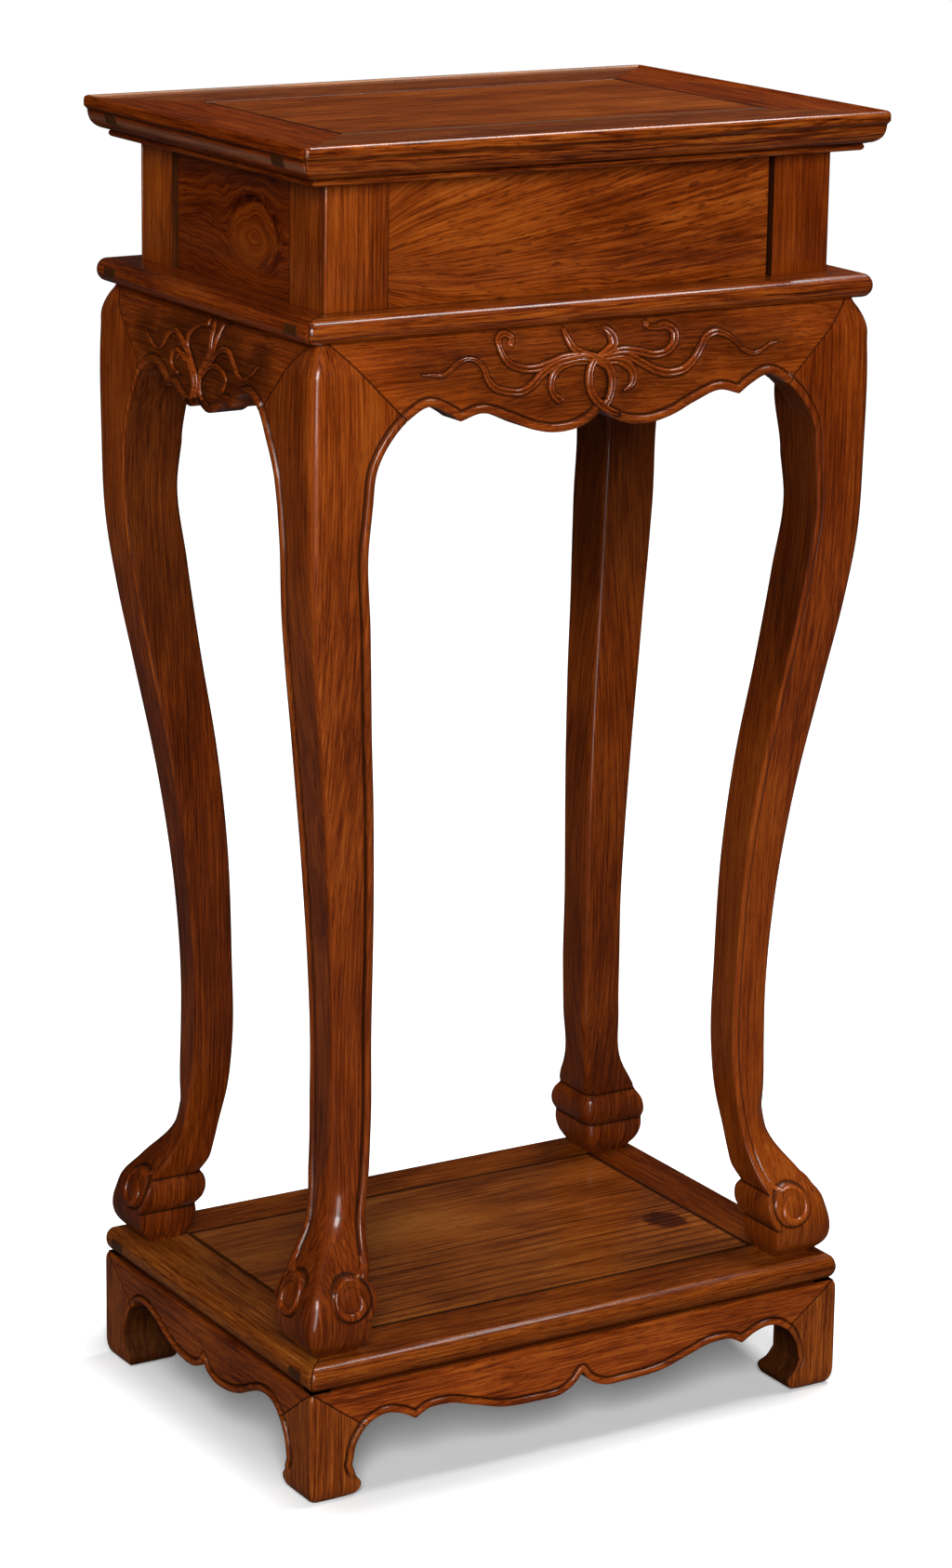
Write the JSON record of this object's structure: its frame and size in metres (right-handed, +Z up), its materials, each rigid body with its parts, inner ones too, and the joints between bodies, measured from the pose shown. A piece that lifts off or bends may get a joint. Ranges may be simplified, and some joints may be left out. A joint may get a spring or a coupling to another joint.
{
  "type": "incense stand",
  "caption": "Tall rectangular wooden stand with a high waist, cabriole legs on scroll feet, cusped aprons and a raised, footed base.",
  "frame": {"origin": "centre of the footprint, on the floor under the feet", "axes": "+Z up, X along the long front, -Y the front"},
  "size_m": [0.466, 0.32, 0.943],
  "materials": {
    "top_frame_wood": "satin polished hardwood",
    "panel_wood": "satin polished figured hardwood",
    "rail_wood": "satin polished hardwood",
    "leg_wood": "satin polished hardwood",
    "base_wood": "satin polished hardwood",
    "hidden_wood": "plain planed hardwood"
  },
  "bodies": {
    "root": {"top_frame_front": "top_frame_wood", "top_frame_back": "top_frame_wood", "top_frame_left": "top_frame_wood", "top_frame_right": "top_frame_wood", "top_panel": "panel_wood", "top_batten_left": "hidden_wood", "top_batten_right": "hidden_wood", "waist_post_front_left": "leg_wood", "waist_post_front_right": "leg_wood", "waist_post_back_left": "leg_wood", "waist_post_back_right": "leg_wood", "waist_panel_front": "panel_wood", "waist_panel_back": "panel_wood", "waist_panel_left": "panel_wood", "waist_panel_right": "panel_wood", "moulding_front": "rail_wood", "moulding_back": "rail_wood", "moulding_left": "rail_wood", "moulding_right": "rail_wood", "leg_front_left": "leg_wood", "leg_front_right": "leg_wood", "leg_back_left": "leg_wood", "leg_back_right": "leg_wood", "apron_front": "rail_wood", "apron_back": "rail_wood", "apron_left": "rail_wood", "apron_right": "rail_wood", "base_frame_front": "base_wood", "base_frame_back": "base_wood", "base_frame_left": "base_wood", "base_frame_right": "base_wood", "base_panel": "panel_wood", "base_batten": "hidden_wood", "base_apron_front": "base_wood", "base_apron_back": "base_wood", "base_apron_left": "base_wood", "base_apron_right": "base_wood", "foot_front_left": "base_wood", "foot_front_right": "base_wood", "foot_back_left": "base_wood", "foot_back_right": "base_wood"}
  },
  "joints": []
}
